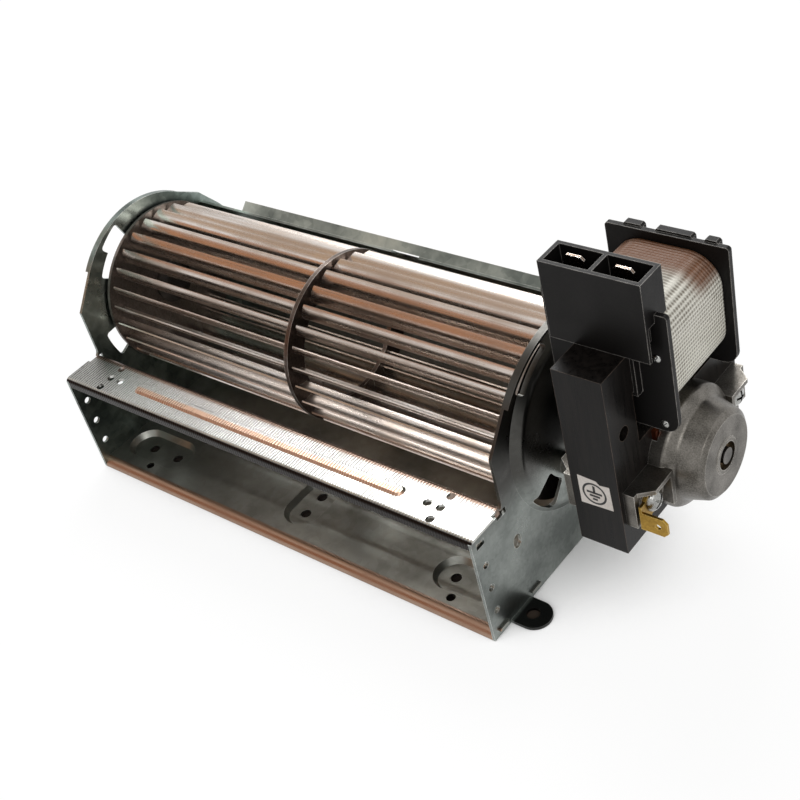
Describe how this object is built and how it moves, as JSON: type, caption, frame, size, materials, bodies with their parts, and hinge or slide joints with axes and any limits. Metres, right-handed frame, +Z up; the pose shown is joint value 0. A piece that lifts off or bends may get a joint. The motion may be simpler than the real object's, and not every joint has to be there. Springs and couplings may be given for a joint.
{
  "type": "cross flow fan",
  "caption": "Cross flow fan: long bladed impeller in a folded sheet housing with a wide outlet, driven by a shaded-pole motor on one end plate.",
  "frame": {"origin": "on the base plane, midway between the two mounting-foot holes", "axes": "+X along the impeller axis towards the motor, +Y from the outlet towards the back of the scroll, +Z up"},
  "size_m": [0.2463, 0.0941, 0.1204],
  "materials": {
    "galvanised_steel": "galvanised sheet, faint spangle",
    "aluminium_sheet": "bright rolled sheet",
    "turned_steel": "turned",
    "black_rubber": "matt",
    "hub_rubber": "matt",
    "sintered_bronze": "sintered, oiled",
    "rotor_iron": "ground",
    "white_nylon": "moulded",
    "black_lacquer": "black lacquered electrical steel, glossy",
    "copper": "enamelled copper",
    "cast_aluminium": "die-cast, satin",
    "zinc_screw": "zinc plated",
    "brass_sheet": "stamped brass",
    "black_plastic": "moulded, satin",
    "woven_tape": "woven glass tape",
    "tinned_tab": "tinned"
  },
  "bodies": {
    "housing": {"end_plate_idle": "galvanised_steel", "end_plate_motor": "galvanised_steel", "scroll_shell": "galvanised_steel", "front_panel": "galvanised_steel", "idle_grommet": "black_rubber", "idle_bush": "sintered_bronze", "lamination_stack": "black_lacquer", "shading_ring_front": "copper", "shading_ring_rear": "copper", "bearing_bracket_inner": "cast_aluminium", "bearing_bracket_outer": "cast_aluminium", "motor_bearing_inner": "sintered_bronze", "motor_bearing_outer": "sintered_bronze", "bracket_screws": "zinc_screw", "motor_mount_screws": "zinc_screw", "earth_tab": "brass_sheet", "coil_bobbin": "black_plastic", "coil_winding": "copper", "coil_tape": "woven_tape", "terminal_housing": "black_plastic", "terminal_left": "tinned_tab", "terminal_right": "tinned_tab", "coil_pins": "tinned_tab"},
    "impeller": {"impeller_idle_disc": "aluminium_sheet", "impeller_drive_disc": "aluminium_sheet", "impeller_middle_ring": "aluminium_sheet", "idle_stub_shaft": "turned_steel", "drive_hub": "hub_rubber", "impeller_blade_01": "aluminium_sheet", "impeller_blade_02": "aluminium_sheet", "impeller_blade_03": "aluminium_sheet", "impeller_blade_04": "aluminium_sheet", "impeller_blade_05": "aluminium_sheet", "impeller_blade_06": "aluminium_sheet", "impeller_blade_07": "aluminium_sheet", "impeller_blade_08": "aluminium_sheet", "impeller_blade_09": "aluminium_sheet", "impeller_blade_10": "aluminium_sheet", "impeller_blade_11": "aluminium_sheet", "impeller_blade_12": "aluminium_sheet", "impeller_blade_13": "aluminium_sheet", "impeller_blade_14": "aluminium_sheet", "impeller_blade_15": "aluminium_sheet", "impeller_blade_16": "aluminium_sheet", "impeller_blade_17": "aluminium_sheet", "impeller_blade_18": "aluminium_sheet", "impeller_blade_19": "aluminium_sheet", "impeller_blade_20": "aluminium_sheet", "impeller_blade_21": "aluminium_sheet", "impeller_blade_22": "aluminium_sheet", "impeller_blade_23": "aluminium_sheet", "impeller_blade_24": "aluminium_sheet", "impeller_blade_25": "aluminium_sheet", "impeller_blade_26": "aluminium_sheet", "motor_shaft": "turned_steel", "rotor": "rotor_iron", "thrust_washers": "white_nylon"}
  },
  "joints": [
    {"name": "impeller_spin", "type": "hinge", "parent": "housing", "child": "impeller", "pos_m": [0, 0.042, 0.0495], "axis": [-1, 0, 0], "continuous": true}
  ]
}
